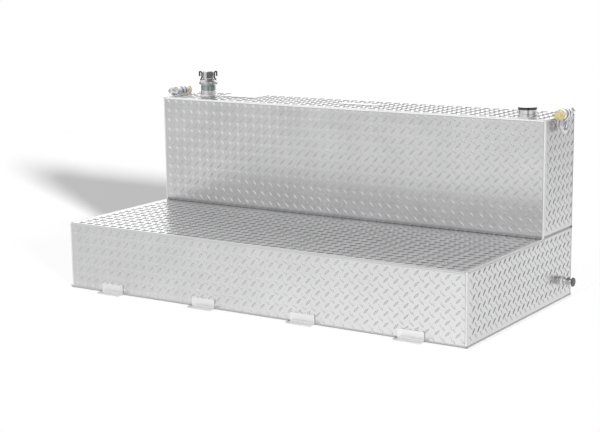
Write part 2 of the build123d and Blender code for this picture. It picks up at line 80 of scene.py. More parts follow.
# Weld beads, rippled by the torch's steps
BEAD_LAP = 0.007
BEAD_CENTRE = 0.0047
BEAD_RADIUS = 0.00523
BEAD_ARC_POINTS = 7
RIPPLE_PITCH = 0.0040
RIPPLE_HEIGHT = 0.00045
RIPPLE_STEPS = 3
RIPPLE_CURVE = 0.45
SEAM_HALF = 0.0045
SEAM_CROWN = 0.0012
SEAM_RISE = 0.0001
FILLET_POINTS = 5
FILLET_HOLLOW = 0.97

# Fittings
CAM_CENTRE = Vector((0.114 - END_X, TOWER_MID_Y + 0.012, HEIGHT))
CAM_FOOT_R = 0.031
FILL_CENTRE = Vector((END_X - 0.083, TOWER_Y + 0.043, HEIGHT))
FILL_FOOT_R = 0.031
DRAIN_CENTRE = Vector((END_X, BACK_Y - 0.0704, 0.062))
DRAIN_FOOT_R = 0.015
COLLAR_LEG = 0.004
CAM_TURN = math.radians(33)
VENT_TURN = math.radians(19)
VENT_FLOOR = 0.0156
VENT_WIDTH = 0.0222
VENT_Z = (0.0645, 0.0886)
VENT_PLEATS = 5
VENT_PLEAT_DEPTH = 0.0009
VENT_BACKING = 0.0002
CAP_RIM_Z = (0.0262, 0.0342)

# Threads: the ridge fades in and out over a share of a turn
THREAD_PITCH = 0.0018
THREAD_STEPS = 36
THREAD_FLANK = 0.45
THREAD_FADE_TURN = 1 / 6
FILL_NECK_R = 0.0245
DRAIN_TUBE_R = 0.01055
DRAIN_PLUG_R = 0.0076

# Lifting lugs
LUG_HALF = 0.006
LUG_FROM_MIDDLE = 0.018
LUG_FOOT_Z = HEIGHT - 0.033
LUG_WELD_LEG = 0.0045
PIN_TAIL_Y = 0.060

# Feet and the stitch welds along their top edges
FOOT_PITCH = 0.385
FOOT_XS = [(i - 1.5) * FOOT_PITCH for i in range(4)]
FOOT_HEIGHT = 0.032
STITCH_LEG = 0.0035
STITCH_LENGTH = 0.014
STITCH_PLACES = (-0.034, -0.0113, 0.0113, 0.034)

# Labels: thin plates that lie on the tops of the tread marks
LABEL_LIFT = 0.0014
LABEL_THICK = 0.0004
LABEL_EDGE = 0.0004
LABEL_EDGE_START = 0.7
LABEL_CORNER = 0.004
LABEL_CORNER_POINTS = 5
LABELS = {
    "top_label": ((-0.511, 0.316), (0.150, 0.086)),
    "strip_label": ((0.006, 0.279), (0.164, 0.048)),
}

# Camera, fitted to the photograph
CAMERA_PLACE = (2.6005, -4.0476, 1.1705)
CAMERA_YAW = math.radians(33.356)
CAMERA_PITCH = math.radians(10.721)
CAMERA_ROLL = math.radians(-0.717)
CAMERA_LENS = 87.13

# Light: a low soft sun that throws the shadow back to the left
SKY_LEVEL = 0.52
SUN_LEVEL = 6.0
SUN_SOFTNESS = math.radians(6)
SUN_FROM = Vector((0.81, -0.53, 0.26))
FLOOR_X = (-3.6, 0.775)
FLOOR_Y = (-0.395, 3.2)

# Where the floor shows clear white to the camera: left of the tank and ahead of its back
CLEAR_LEFT = (0.77, 0.80)
CLEAR_AHEAD = (0.40, 0.60)
CLEAR_SHARE = 0.94

# What bright metal mirrors of the room: its level from straight down to straight up, and a
# share of that level in places round it, each from where it begins to fade to its middle.
ROOM_LEVELS = (
    (0.0, 0.78),
    (0.20, 0.80),
    (0.30, 0.90),
    (0.39, 1.19),
    (0.43, 0.81),
    (0.52, 0.85),
    (0.68, 1.0),
    (0.82, 0.86),
    (1.0, 0.80),
)
ROOM_PLACES = (
    ((0.54, -0.82, -0.1), 0.95, 0.99, 0.35),
    ((0.05, -0.78, 0.62), 0.86, 0.97, 1.9),
    ((0.08, 0.20, 0.96), 0.78, 0.96, 0.22),
    ((-0.54, 0.82, 0.19), 0.60, 0.90, 1.62),
    ((-0.36, -0.80, -0.47), 0.93, 0.985, 1.44),
    ((-0.68, -0.73, -0.10), 0.965, 0.995, 0.82),
    ((-0.42, -0.89, -0.13), 0.992, 0.999, 0.90),
    ((-0.82, 0.20, -0.54), 0.78, 0.94, 0.08),
    ((0.86, 0.36, 0.24), 0.76, 0.94, 0.36),
    ((-0.97, 0.13, 0.13), 0.86, 0.96, 0.36),
    ((-0.54, -0.82, -0.1), 0.80, 0.95, 0.93),
    ((0.64, 0.72, -0.15), 0.55, 0.88, 0.93),
)


class Value:
    """A shader number that Python's own operators work on."""

    def __init__(self, graph, socket):
        self.graph = graph
        self.socket = socket

    def math(self, operation, *others):
        inputs = dict(enumerate((self, *others)))
        return self.graph.node("ShaderNodeMath", {"operation": operation}, inputs)

    def reversed_math(self, operation, other):
        return self.graph.node("ShaderNodeMath", {"operation": operation}, {0: other, 1: self})

    def __add__(self, other):
        return self.math("ADD", other)

    def __radd__(self, other):
        return self.reversed_math("ADD", other)

    def __sub__(self, other):
        return self.math("SUBTRACT", other)

    def __rsub__(self, other):
        return self.reversed_math("SUBTRACT", other)

    def __mul__(self, other):
        return self.math("MULTIPLY", other)

    def __rmul__(self, other):
        return self.reversed_math("MULTIPLY", other)

    def __truediv__(self, other):
        return self.math("DIVIDE", other)

    def __rtruediv__(self, other):
        return self.reversed_math("DIVIDE", other)


class Graph:
    """A node tree whose numbers are written as expressions."""

    def __init__(self, tree):
        self.tree = tree

    def node(self, kind, settings=None, inputs=None, output=0):
        """Add one node: its settings first, then its sockets, and give one output."""
        node = self.tree.nodes.new(kind)
        for name, value in (settings or {}).items():
            if name == "stops":
                self.set_stops(node.color_ramp, value)
            else:
                setattr(node, name, value)
        for name, value in (inputs or {}).items():
            self.feed(node.inputs[name], value)
        return Value(self, node.outputs[output])

    def feed(self, socket, value):
        if isinstance(value, Value):
            self.tree.links.new(value.socket, socket)
        else:
            socket.default_value = value

    def set_stops(self, ramp, stops):
        while len(ramp.elements) < len(stops):
            ramp.elements.new(0.5)
        for element, (place, level) in zip(ramp.elements, stops):
            element.position = place
            element.color = (level, level, level, 1.0)

    def stretched(self, vector, scale):
        """A position with each axis scaled by itself."""
        return self.node("ShaderNodeVectorMath", {"operation": "MULTIPLY"}, {0: vector, 1: scale})

    def ramp(self, value, *stops):
        return self.node("ShaderNodeValToRGB", {"stops": stops}, {"Fac": value})

    def mixed(self, factor, low, high):
        """Two worked-out colours mixed by a factor. A Mix node's colours are sockets 6 and 7."""
        inputs = {0: factor, 6: low, 7: high}
        return self.node("ShaderNodeMix", {"data_type": "RGBA"}, inputs, output=2)

    def tint(self, factor, low, high):
        """Colour between two plain colours by a factor."""
        return self.mixed(factor, (*low, 1.0), (*high, 1.0))


class Finish(Graph):
    """A material for one kind of surface."""

    def __init__(self, name, constants=None):
        self.material = bpy.data.materials.new(name)
        self.material.use_nodes = True
        super().__init__(self.material.node_tree)
        self.shader = self.tree.nodes["Principled BSDF"]
        for socket, value in (constants or {}).items():
            self.shader.inputs[socket].default_value = value

    def set(self, socket, value):
        self.feed(self.shader.inputs[socket], value)

    def place(self):
        """Position on the piece, in metres, which stays with it when it moves."""
        return self.node("ShaderNodeTexCoord", output="Object")

    def part(self, axis):
        return self.node("ShaderNodeSeparateXYZ", inputs={"Vector": self.place()}, output=axis)

    def noise(self, scale, detail=3.0, stretch=None):
        vector = self.stretched(self.place(), stretch) if stretch else self.place()
        inputs = {"Vector": vector, "Scale": scale, "Detail": detail}
        return self.node("ShaderNodeTexNoise", inputs=inputs)

    def bump(self, height, distance):
        inputs = {"Height": height, "Distance": distance}
        self.set("Normal", self.node("ShaderNodeBump", inputs=inputs))


# Finishes


def tread_finish():
    """Bright rolled sheet: fine grain along the tank, soft smears, slight waviness.

    Painted shade darkens the feet of the marks and the fold behind the step."""
    finish = Finish("tread_plate", {"Metallic": 1.0})
    grain = finish.noise(1.0, 2.0, (12.0, 900.0, 900.0))
    smears = finish.noise(7.0, 5.0)
    grime = finish.node("ShaderNodeAttribute", {"attribute_name": "grime"}, output="Fac")
    section = finish.stretched(finish.place(), (0.0, 1.0, 1.0))
    fold_line = {0: section, 1: (0.0, TOWER_Y, STEP)}
    from_fold = finish.node("ShaderNodeVectorMath", {"operation": "DISTANCE"}, fold_line, output=1)
    fold_shade_mask = finish.ramp(from_fold / FOLD_REACH, (0.2, 1.0), (1.0, 0.0))
    # Painted shade: the fold behind the step and the feet of the marks are darkened; the smears
    # are the sheet's own tone.
    smears_and_shade = smears * (1 - 0.6 * grime) - MARK_SHADE * grime - FOLD_SHADE * fold_shade_mask
    shaded_tone, bare = (0.16, 0.16, 0.165), (0.73, 0.73, 0.735)
    finish.set("Base Color", finish.tint(smears_and_shade * 0.2 + 0.8, shaded_tone, bare))
    finish.set("Roughness", 0.16 + 0.10 * smears + 0.08 * grain)
    waves = finish.noise(5.0, 1.0)
    finish.bump(waves * 0.0012 + grain * 0.000004, 1.0)
    return finish.material


def smooth_finish():
    """Mill-finish aluminium of the feet, lugs and floor."""
    finish = Finish("sheet_aluminium", {"Metallic": 1.0})
    grain = finish.noise(1.0, 3.0, (40.0, 700.0, 700.0))
    patches = finish.noise(30.0, 4.0)
    finish.set("Base Color", finish.tint(patches, (0.80, 0.80, 0.81), (0.90, 0.90, 0.90)))
    finish.set("Roughness", 0.28 + 0.14 * grain)
    finish.bump(grain, 0.00002)
    return finish.material


def weld_finish(name, dark_end, bare):
    """Bright weld metal with faint random patches, darker along the back, with painted shade where
    it rests on the floor.
    """
    finish = Finish(name, {"Metallic": 1.0})
    speckle = finish.noise(900.0, 3.0)
    patches = finish.noise(18.0, 3.0)
    toward_back = finish.ramp(finish.part("Y") / DEPTH + 0.5, (0.97, 1.0), (0.985, 0.0))
    # Painted shade: the bead turns dark where it meets the floor.
    clear_of_floor_shade = finish.ramp(finish.part("Z") / HEIGHT, (0.004, 0.0), (0.016, 1.0))
    bright = toward_back * clear_of_floor_shade * (0.85 + 0.3 * patches)
    finish.set("Base Color", finish.tint(bright, dark_end, bare))
    finish.set("Roughness", 0.30 + 0.12 * speckle)
    finish.bump(speckle, 0.00006)
    return finish.material


def turned_finish(name, low, high, roughness, ring_pitch=0.0004):
    """Lathe-turned metal with fine rings up its length."""
    finish = Finish(name, {"Metallic": 1.0})
    rings = finish.noise(1.0, 2.0, (30.0, 30.0, 1.0 / ring_pitch))
    patches = finish.noise(60.0, 3.0)
    finish.set("Base Color", finish.tint(patches, low, high))
    finish.set("Roughness", roughness + 0.10 * rings)
    finish.bump(rings, 0.00003)
    return finish.material


def galvanised_finish():
    """Zinc-dipped steel with its spangle and dull patches."""
    finish = Finish("galvanised_steel", {"Metallic": 1.0})
    cells = {"Vector": finish.place(), "Scale": 260.0}
    spangle = finish.node("ShaderNodeTexVoronoi", inputs=cells)
    patches = finish.noise(70.0, 4.0)
    finish.set("Base Color", finish.tint(patches, (0.66, 0.66, 0.68), (0.90, 0.90, 0.91)))
    finish.set("Roughness", 0.10 + 0.10 * patches + 0.06 * spangle)
    finish.bump(patches, 0.0001)
    return finish.material


def yellow_zinc_finish():
    """Yellow passivated zinc, which drifts between gold and olive."""
    finish = Finish("yellow_zinc", {"Metallic": 1.0})
    drift = finish.noise(90.0, 3.0)
    finish.set("Base Color", finish.tint(drift, (0.60, 0.49, 0.16), (0.93, 0.84, 0.50)))
    finish.set("Roughness", 0.22 + 0.12 * drift)
    finish.bump(drift, 0.00005)
    return finish.material


def pin_finish():
    """Galvanised pin whose threaded tail is yellow like its nut."""
    finish = Finish("plated_pin", {"Metallic": 1.0})
    patches = finish.noise(80.0, 4.0)
    from_middle = (finish.part("Y") - TOWER_MID_Y).math("ABSOLUTE")
    tail = from_middle.math("GREATER_THAN", PIN_TAIL_Y)
    zinc = finish.tint(patches, (0.50, 0.50, 0.52), (0.78, 0.78, 0.79))
    gold = finish.tint(patches, (0.66, 0.54, 0.20), (0.95, 0.88, 0.58))
    finish.set("Base Color", finish.mixed(tail, zinc, gold))
    finish.set("Roughness", 0.18 + 0.16 * patches)
    finish.bump(patches, 0.0001)
    return finish.material


def gripped_cap_finish():
    """Turned cap with a dark band round its gripped rim."""
    finish = Finish("gripped_cap", {"Metallic": 1.0})
    wear = finish.noise(120.0, 3.0)
    height = finish.part("Z") - HEIGHT
    rim = height.math("GREATER_THAN", CAP_RIM_Z[0]) * height.math("LESS_THAN", CAP_RIM_Z[1])
    dark = finish.tint(wear, (0.05, 0.05, 0.055), (0.16, 0.16, 0.165))
    bright = finish.tint(wear, (0.72, 0.72, 0.73), (0.86, 0.86, 0.87))
    finish.set("Base Color", finish.mixed(rim, bright, dark))
    finish.set("Roughness", 0.12 + 0.12 * wear)
    finish.bump(wear, 0.00008)
    return finish.material


def black_finish():
    """Blackened steel with random wear."""
    finish = Finish("black_steel", {"Metallic": 0.3})
    wear = finish.noise(160.0, 4.0)
    finish.set("Base Color", finish.tint(wear, (0.035, 0.035, 0.038), (0.10, 0.10, 0.105)))
    finish.set("Roughness", 0.38 + 0.2 * wear)
    finish.bump(wear, 0.0001)
    return finish.material


def rubber_finish():
    finish = Finish("seal_rubber")
    dust = finish.noise(220.0, 4.0)
    finish.set("Base Color", finish.tint(dust, (0.02, 0.02, 0.021), (0.055, 0.055, 0.055)))
    finish.set("Roughness", 0.55 + 0.25 * dust)
    finish.bump(dust, 0.0001)
    return finish.material


def label_finish():
    """Blank coated label stock with slight handling marks."""
    finish = Finish("white_label", {"Coat Weight": 0.2, "Coat Roughness": 0.25})
    marks = finish.noise(35.0, 4.0)
    finish.set("Base Color", finish.tint(marks, (0.83, 0.83, 0.84), (0.90, 0.90, 0.90)))
    finish.set("Roughness", 0.35 + 0.15 * marks)
    finish.bump(marks, 0.0002)
    return finish.material


def floor_finish():
    """White studio floor with the tank's shadow behind it and clear white beside it."""
    finish = Finish("floor_white", {"Specular IOR Level": 0.0})
    paper = finish.noise(0.4, 2.0)
    finish.set("Base Color", finish.tint(paper, (0.985, 0.985, 0.985), (1.0, 1.0, 1.0)))
    finish.set("Roughness", 0.9)
    seen = finish.node("ShaderNodeLightPath", output="Is Camera Ray")
    start, full = CLEAR_LEFT
    left = finish.ramp(-1.0 * finish.part("X"), (start, 0.0), (full, CLEAR_SHARE))
    full, end = CLEAR_AHEAD
    ahead = finish.ramp(finish.part("Y"), (full, 1.0), (end, 0.0))
    lit = finish.node("ShaderNodeEmission", inputs={"Color": (1.0, 1.0, 1.0, 1.0)})
    shaders = {0: seen * left * ahead, 1: Value(finish, finish.shader.outputs[0]), 2: lit}
    surface = finish.node("ShaderNodeMixShader", inputs=shaders)
    finish.feed(finish.tree.nodes["Material Output"].inputs["Surface"], surface)
    return finish.material


# Meshes


def add_piece(name, points, faces, material, body="tank", smooth=True):
    """Make a mesh object from points and faces and let it ride on a CAD body."""
    mesh = bpy.data.meshes.new(name)
    mesh.from_pydata([tuple(point) for point in points], [], faces)
    mesh.materials.append(material)
    mesh.polygons.foreach_set("use_smooth", [smooth] * len(mesh.polygons))
    mesh.update()
    piece = bpy.data.objects.new(name, mesh)
    bpy.context.scene.collection.objects.link(piece)
    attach(piece, body)
    return piece


class FoldedSheet:
    """Outer surface of a sheet that is folded along X, as runs and bends in (y, z)."""

    def __init__(self):
        self.parts = []
        self.length = 0.0

    def run(self, start, end):
        """Flat stretch. The outside is on its left, seen along the way."""
        start, end = Vector(start), Vector(end)
        way = (end - start).normalized()
        size = (end - start).length
        self.parts.append((self.length, size, ("run", start, way)))
        self.length += size
        return self

    def bend(self, centre, radius, first, last):
        """Bend round a centre from one angle to another. A rising angle is a hollow bend."""
        size = radius * abs(last - first)
        self.parts.append((self.length, size, ("bend", Vector(centre), radius, first, last)))
        self.length += size
        return self

    def outer_folds(self):
        """How far along the sheet the middle of each outer bend lies."""
        bends = [part for part in self.parts if part[2][0] == "bend" and part[2][4] < part[2][3]]
        return [start + size / 2 for start, size, _ in bends]

    def at(self, along):
        """Point and outward normal, as two (y, z) vectors, at a distance along the sheet."""
        for start, size, part in self.parts:
            if along <= start + size or part is self.parts[-1][2]:
                break
        if part[0] == "run":
            _, origin, way = part
            return origin + way * (along - start), Vector((-way.y, way.x))
        _, centre, radius, first, last = part
        angle = first + (last - first) * (along - start) / size
        arm = Vector((math.cos(angle), math.sin(angle)))
        return centre + arm * radius, arm if last < first else -arm


def front_sheet():
    """Lower front, step deck and tower front."""
    deck_start, deck_end = FRONT_Y + BEND_OUT, TOWER_Y - BEND_IN
    return (
        FoldedSheet()
        .run((FRONT_Y, 0.0), (FRONT_Y, STEP - BEND_OUT))
        .bend((deck_start, STEP - BEND_OUT), BEND_OUT, math.pi, math.pi / 2)
        .run((deck_start, STEP), (deck_end, STEP))
        .bend((deck_end, STEP + BEND_IN), BEND_IN, -math.pi / 2, 0.0)
        .run((TOWER_Y, STEP + BEND_IN), (TOWER_Y, HEIGHT))
    )


def rear_sheet():
    """Top and back."""
    top_end = BACK_Y - BEND_OUT
    return (
        FoldedSheet()
        .run((TOWER_Y, HEIGHT), (top_end, HEIGHT))
        .bend((top_end, HEIGHT - BEND_OUT), BEND_OUT, math.pi / 2, 0.0)
        .run((BACK_Y, HEIGHT - BEND_OUT), (BACK_Y, 0.0))
    )


def mark_outline():
    """Outline of one tread mark as (along, across) shares of its half size."""
    outline = []
    for i in range(MARK_POINTS):
        angle = 2 * math.pi * i / MARK_POINTS
        along = math.cos(angle)
        across = 1 - abs(along) ** MARK_ROUNDNESS
        outline.append((along, math.copysign(across, math.sin(angle) or 1.0)))
    return np.array(outline)


def mark_points():
    """Points of one tread mark, ring by ring: along, across and share of its height."""
    rings = []
    for inset, rise in MARK_RINGS:
        end_inset = inset * MARK_WIDTH / MARK_LENGTH * MARK_END_SLOPE
        shrink = np.array((1 - end_inset, 1 - inset))
        half = np.array((MARK_LENGTH, MARK_WIDTH)) / 2
        ring = mark_outline() * shrink * half
        rings.append(np.column_stack((ring, np.full(MARK_POINTS, rise))))
    return np.vstack(rings)


def mark_faces():
    faces = []
    for ring in range(len(MARK_RINGS) - 1):
        low, high = ring * MARK_POINTS, (ring + 1) * MARK_POINTS
        for i in range(MARK_POINTS):
            j = (i + 1) % MARK_POINTS
            faces.append((low + i, low + j, high + j, high + i))
    top = (len(MARK_RINGS) - 1) * MARK_POINTS
    faces.append(tuple(range(top, top + MARK_POINTS)))
    return faces


def mark_places(width, length, flip):
    """Middle and turn of each mark on a sheet, row by row."""
    columns, rows = int(width / TREAD_PITCH) + 2, int(length / TREAD_PITCH) + 2
    places = []
    for row in range(2 * rows):
        turn = math.radians(45 if (row % 2) == flip else -45)
        for column in range(columns):
            across = (column + 0.5 * (row % 2)) * TREAD_PITCH - width / 2
            along = row * TREAD_PITCH / 2
            if abs(across) < width / 2 and 0 < along < length:
                places.append((across, along, turn))
    return places


def tread(name, width, length, surface, clear_of=(), flip=False, folds=()):
    """Raised marks over a sheet. surface gives the point and normal at (across, along).

    The marks sink into the sheet at its edges, in its folds and round what stands on it."""
    shape, faces_of_one = mark_points(), mark_faces()
    points, faces = [], []
    for across, along, turn in mark_places(width, length, flip):
        cos, sin = math.cos(turn), math.sin(turn)
        first = len(points)
        for a, b, rise in shape:
            u = min(max(across + a * cos - b * sin, -width / 2), width / 2)
            v = min(max(along + a * sin + b * cos, 0.0), length)
            point, normal = surface(u, v)
            spare = [width / 2 - abs(u), v, length - v]
            spare += [abs(v - fold) - FOLD_HALF for fold in folds]
            spare += [(point - centre).length - radius for centre, radius in clear_of]
            share = min(max(min(spare) / EDGE_FADE, 0.0), 1.0)
            points.append(point + normal * (share * rise * MARK_HEIGHT - MARK_SINK))
        faces.extend(tuple(first + i for i in face) for face in faces_of_one)
    piece = add_piece(name, points, faces, tread_plate)
    # Painted shade at the feet of the marks: the base ring of each mark gets a share of 1.
    grime = piece.data.attributes.new("grime", "FLOAT", "POINT")
    marks = len(points) // len(shape)
    grime.data.foreach_set("value", np.tile(shape[:, 2] == 0.0, marks).astype(float))
    return piece


def folded_surface(sheet):
    def surface(u, v):
        (y, z), (ny, nz) = sheet.at(v)
        return Vector((u, y, z)), Vector((0.0, ny, nz))

    return surface


def end_surface(side, low_z, middle_y):
    """Surface of an end sheet: across runs along Y, along runs up."""

    def surface(u, v):
        return Vector((side * END_X, middle_y + u, low_z + v)), Vector((side, 0.0, 0.0))

    return surface


def add_tread():
    inner_length = LENGTH - 2 * BEAD_LAP
    sheets = {"front": front_sheet(), "rear": rear_sheet()}
    collars = [(CAM_CENTRE, CAM_FOOT_R + COLLAR_LEG), (FILL_CENTRE, FILL_FOOT_R + COLLAR_LEG)]
    for name, sheet in sheets.items():
        surface, folds = folded_surface(sheet), sheet.outer_folds()
        tread(f"tread_{name}", inner_length, sheet.length, surface, collars, folds=folds)
    drain = [(DRAIN_CENTRE, DRAIN_FOOT_R + COLLAR_LEG)]
    lower_size = (DEPTH - 2 * BEAD_LAP, STEP - 2 * BEAD_LAP)
    upper_size = (TOWER - 2 * BEAD_LAP, HEIGHT - BEAD_LAP - SEAM_Z - ABOVE_SEAM)
    for name, side in (("right", 1), ("left", -1)):
        lower = end_surface(side, BEAD_LAP, 0.0)
        upper = end_surface(side, SEAM_Z + ABOVE_SEAM, TOWER_MID_Y)
        tread(f"tread_lower_{name}", *lower_size, lower, drain, side < 0)
        tread(f"tread_upper_{name}", *upper_size, upper, (), side < 0)


# Weld beads


def corner_profile():
    """Round of a corner bead as shares of the two ways along the sheets, then its root."""
    start = math.atan2(-BEAD_CENTRE, BEAD_LAP - BEAD_CENTRE)
    end = math.atan2(BEAD_LAP - BEAD_CENTRE, -BEAD_CENTRE) - 2 * math.pi
    profile = []
    for angle in np.linspace(start, end, BEAD_ARC_POINTS):
        arm = (math.cos(angle), math.sin(angle))
        profile.append((BEAD_CENTRE, BEAD_CENTRE, *arm, BEAD_RADIUS))
    return profile + [(SHEET, SHEET, 0.0, 0.0, 0.0)]


def fillet_profile(leg):
    """Slightly hollow fillet of an inside corner, then its root."""
    angles = np.linspace(0, math.pi / 2, FILLET_POINTS)
    arms = [(math.sin(angle), math.cos(angle)) for angle in angles]
    round_points = [(leg, leg, -a, -b, leg * FILLET_HOLLOW) for a, b in arms]
    return round_points + [(-leg / 4, -leg / 4, 0.0, 0.0, 0.0)]


def seam_profile():
    """Low crown over a flat joint, then its root."""
    crown = []
    for x in np.linspace(-1, 1, BEAD_ARC_POINTS):
        crown.append((x * SEAM_HALF, 0.0, 0.0, 1.0, SEAM_CROWN * (1 - x * x) + SEAM_RISE))
    return crown + [(0.0, -SHEET / 2, 0.0, 0.0, 0.0)]


def sweep(frames, profile, closed=False, ripple=RIPPLE_HEIGHT):
    """Bead along frames of (point, way a, way b). Each step of the torch leaves a ripple."""
    points, faces = [], []
    last = len(profile) - 1
    for step, (point, way_a, way_b) in enumerate(frames):
        for i, (base_a, base_b, arm_a, arm_b, radius) in enumerate(profile):
            bow = RIPPLE_CURVE * (2 * i / last - 1) ** 2
            phase = 2 * math.pi * (step / RIPPLE_STEPS + bow)
            reach = radius + ripple * math.cos(phase) if 0 < i < last - 1 else radius
            a, b = base_a + arm_a * reach, base_b + arm_b * reach
            points.append(point + way_a * a + way_b * b)
    size = len(profile)
    steps = len(frames) if closed else len(frames) - 1
    for step in range(steps):
        here, there = step * size, (step + 1) % len(frames) * size
        for i in range(size):
            j = (i + 1) % size
            faces.append((here + i, here + j, there + j, there + i))
    if not closed:
        faces.append(tuple(range(size)))
        faces.append(tuple(range(len(points) - size, len(points)))[::-1])
    return points, faces


def flat_on_floor(points):
    """Points of a bead that is flat where it rests on the floor."""
    return [Vector((x, y, max(z, 0.0))) for x, y, z in points]


def joined(parts):
    """One mesh from several (points, faces)."""
    points, faces = [], []
    for more_points, more_faces in parts:
        first = len(points)
        points.extend(more_points)
        faces.extend(tuple(first + i for i in face) for face in more_faces)
    return points, faces


def steps_along(length):
    return np.linspace(0, length, max(2, int(length / RIPPLE_PITCH * RIPPLE_STEPS)))


def line_frames(start, end, way_a, way_b):
    start, way_a, way_b = Vector(start), Vector(way_a), Vector(way_b)
    way = Vector(end) - start
    return [(start + way * (s / way.length), way_a, way_b) for s in steps_along(way.length)]


def ring_frames(side, sheet):
    """Frames along the corner between a folded sheet and the end sheet."""
    frames = []
    for along in steps_along(sheet.length):
        (y, z), (ny, nz) = sheet.at(along)
        frames.append((Vector((side * END_X, y, z)), Vector((0, -ny, -nz)), Vector((-side, 0, 0))))
    return frames


def circle_frames(centre, radius, axis):
    """Frames round the foot of a collar: out along the sheet, then up the collar."""
    axis = Vector(axis)
    first = axis.orthogonal().normalized()
    second = axis.cross(first)
    count = int(2 * math.pi * radius / RIPPLE_PITCH) * RIPPLE_STEPS
    frames = []
    for angle in np.linspace(0, 2 * math.pi, count, endpoint=False):
        out = first * math.cos(angle) + second * math.sin(angle)
        frames.append((centre + out * radius, out, axis))
    return frames


def add_bead(name, parts, replaced=None, finish=None):
    points, faces = joined(parts)
    piece = add_piece(name, points, faces, finish or weld_metal)
    if replaced:
        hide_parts(replaced)
    return piece


def add_weld_beads():
    corner = corner_profile()
    up, back, front = (0, 0, 1), (0, 1, 0), (0, -1, 0)
    inner_x = END_X - SHEET
    for name, side in (("right", 1), ("left", -1)):
        into = (-side, 0, 0)
        frames = [ring_frames(side, front_sheet()), ring_frames(side, rear_sheet())]
        frames.append(line_frames((side * END_X, FRONT_Y, 0), (side * END_X, BACK_Y, 0), up, into))
        ring = [sweep(way, corner) for way in frames]
        ring = [(flat_on_floor(points), faces) for points, faces in ring]
        add_bead(f"weld_ring_{name}_rippled", ring, f"weld_ring_{name}")
        seam_ends = [(side * END_X, y, SEAM_Z) for y in (TOWER_Y + SHEET, BACK_Y - SHEET)]
        seam = sweep(line_frames(*seam_ends, up, (side, 0, 0)), seam_profile())
        add_bead(f"weld_seam_{name}_rippled", [seam], f"weld_seam_{name}", seam_metal)
    long_beads = {
        "weld_top_front": (TOWER_Y, HEIGHT, (0, 0, -1), back),
        "weld_bottom_front": (FRONT_Y, 0.0, up, back),
        "weld_bottom_rear": (BACK_Y, 0.0, up, front),
    }
    for name, (y, z, way_a, way_b) in long_beads.items():
        frames = line_frames((-inner_x, y, z), (inner_x, y, z), way_a, way_b)
        points, faces = sweep(frames, corner)
        add_bead(f"{name}_rippled", [(flat_on_floor(points), faces)], name)
    collars = {
        "cam_bung_weld": (CAM_CENTRE, CAM_FOOT_R, up),
        "fill_bung_weld": (FILL_CENTRE, FILL_FOOT_R, up),
        "drain_bung_weld": (DRAIN_CENTRE, DRAIN_FOOT_R, (1, 0, 0)),
    }
    for name, (centre, radius, axis) in collars.items():
        frames = circle_frames(centre, radius, axis)
        fillet = sweep(frames, fillet_profile(COLLAR_LEG), closed=True)
        add_bead(f"{name}_rippled", [fillet], name)
    stitches = []
    for x in FOOT_XS:
        for place in STITCH_PLACES:
            sides = (place - STITCH_LENGTH / 2, place + STITCH_LENGTH / 2)
            ends = [(x + side, FRONT_Y, FOOT_HEIGHT) for side in sides]
            stitches.append(sweep(line_frames(*ends, up, front), fillet_profile(STITCH_LEG)))
    add_bead("foot_stitch_welds", stitches)


def add_lug_welds():
    fillets = []
    for side in (1, -1):
        for face in (1, -1):
            y = TOWER_MID_Y - side * LUG_FROM_MIDDLE + face * LUG_HALF
            ends = [(side * END_X, y, z) for z in (LUG_FOOT_Z, HEIGHT - BEAD_LAP)]
            frames = line_frames(*ends, (0, face, 0), (side, 0, 0))
            fillets.append(sweep(frames, fillet_profile(LUG_WELD_LEG)))
    add_bead("lug_fillet_welds", fillets)


# Fittings


def add_vent_shade_sheet():
    """Dark pleated sheet behind the window in the cam-lock's cap: painted shade in the vent's
    recess.
    """
    turn = CAM_TURN + VENT_TURN
    out = Vector((math.sin(turn), -math.cos(turn), 0.0))
    across = Vector((math.cos(turn), math.sin(turn), 0.0))
    folds = 2 * VENT_PLEATS
    outline = [(VENT_WIDTH / 2, 0.0), (-VENT_WIDTH / 2, 0.0)]
    for i in range(folds + 1):
        depth = VENT_BACKING + (i % 2) * VENT_PLEAT_DEPTH
        outline.append(((i / folds - 0.5) * VENT_WIDTH, depth))
    points = []
    for z in VENT_Z:
        for u, depth in outline:
            points.append(CAM_CENTRE + across * u + out * (VENT_FLOOR + depth) + Vector((0, 0, z)))
    count = len(outline)
    faces = [tuple(range(count)), tuple(range(count, 2 * count))[::-1]]
    for i in range(count):
        j = (i + 1) % count
        faces.append((i, count + i, count + j, j))
    shade_sheet = add_piece("vent_shade_sheet", points, faces, black_steel, smooth=False)


def add_thread(name, centre, axis, radius, start, length, height, material, body):
    """Ridge that climbs round a rod and fades out at both ends."""
    axis = Vector(axis)
    first = axis.orthogonal().normalized()
    second = axis.cross(first)
    count = int(length / THREAD_PITCH * THREAD_STEPS)
    section = ((-THREAD_FLANK, 0.0), (0.0, 1.0), (THREAD_FLANK, 0.0))
    points, faces = [], []
    for i in range(count):
        angle = 2 * math.pi * i / THREAD_STEPS
        out = first * math.cos(angle) + second * math.sin(angle)
        along = start + THREAD_PITCH * i / THREAD_STEPS
        fade = min(1.0, min(i, count - 1 - i) / (THREAD_STEPS * THREAD_FADE_TURN))
        for shift, rise in section:
            arm = out * (radius + rise * fade * height - (1 - rise) * height / 2)
            points.append(centre + arm + axis * (along + shift * THREAD_PITCH))
    for i in range(count - 1):
        for j in range(3):
            here, there = 3 * i + j, 3 * i + (j + 1) % 3
            faces.append((here, there, there + 3, here + 3))
    faces.append((0, 2, 1))
    faces.append((3 * count - 3, 3 * count - 2, 3 * count - 1))
    add_piece(name, points, faces, material, body)


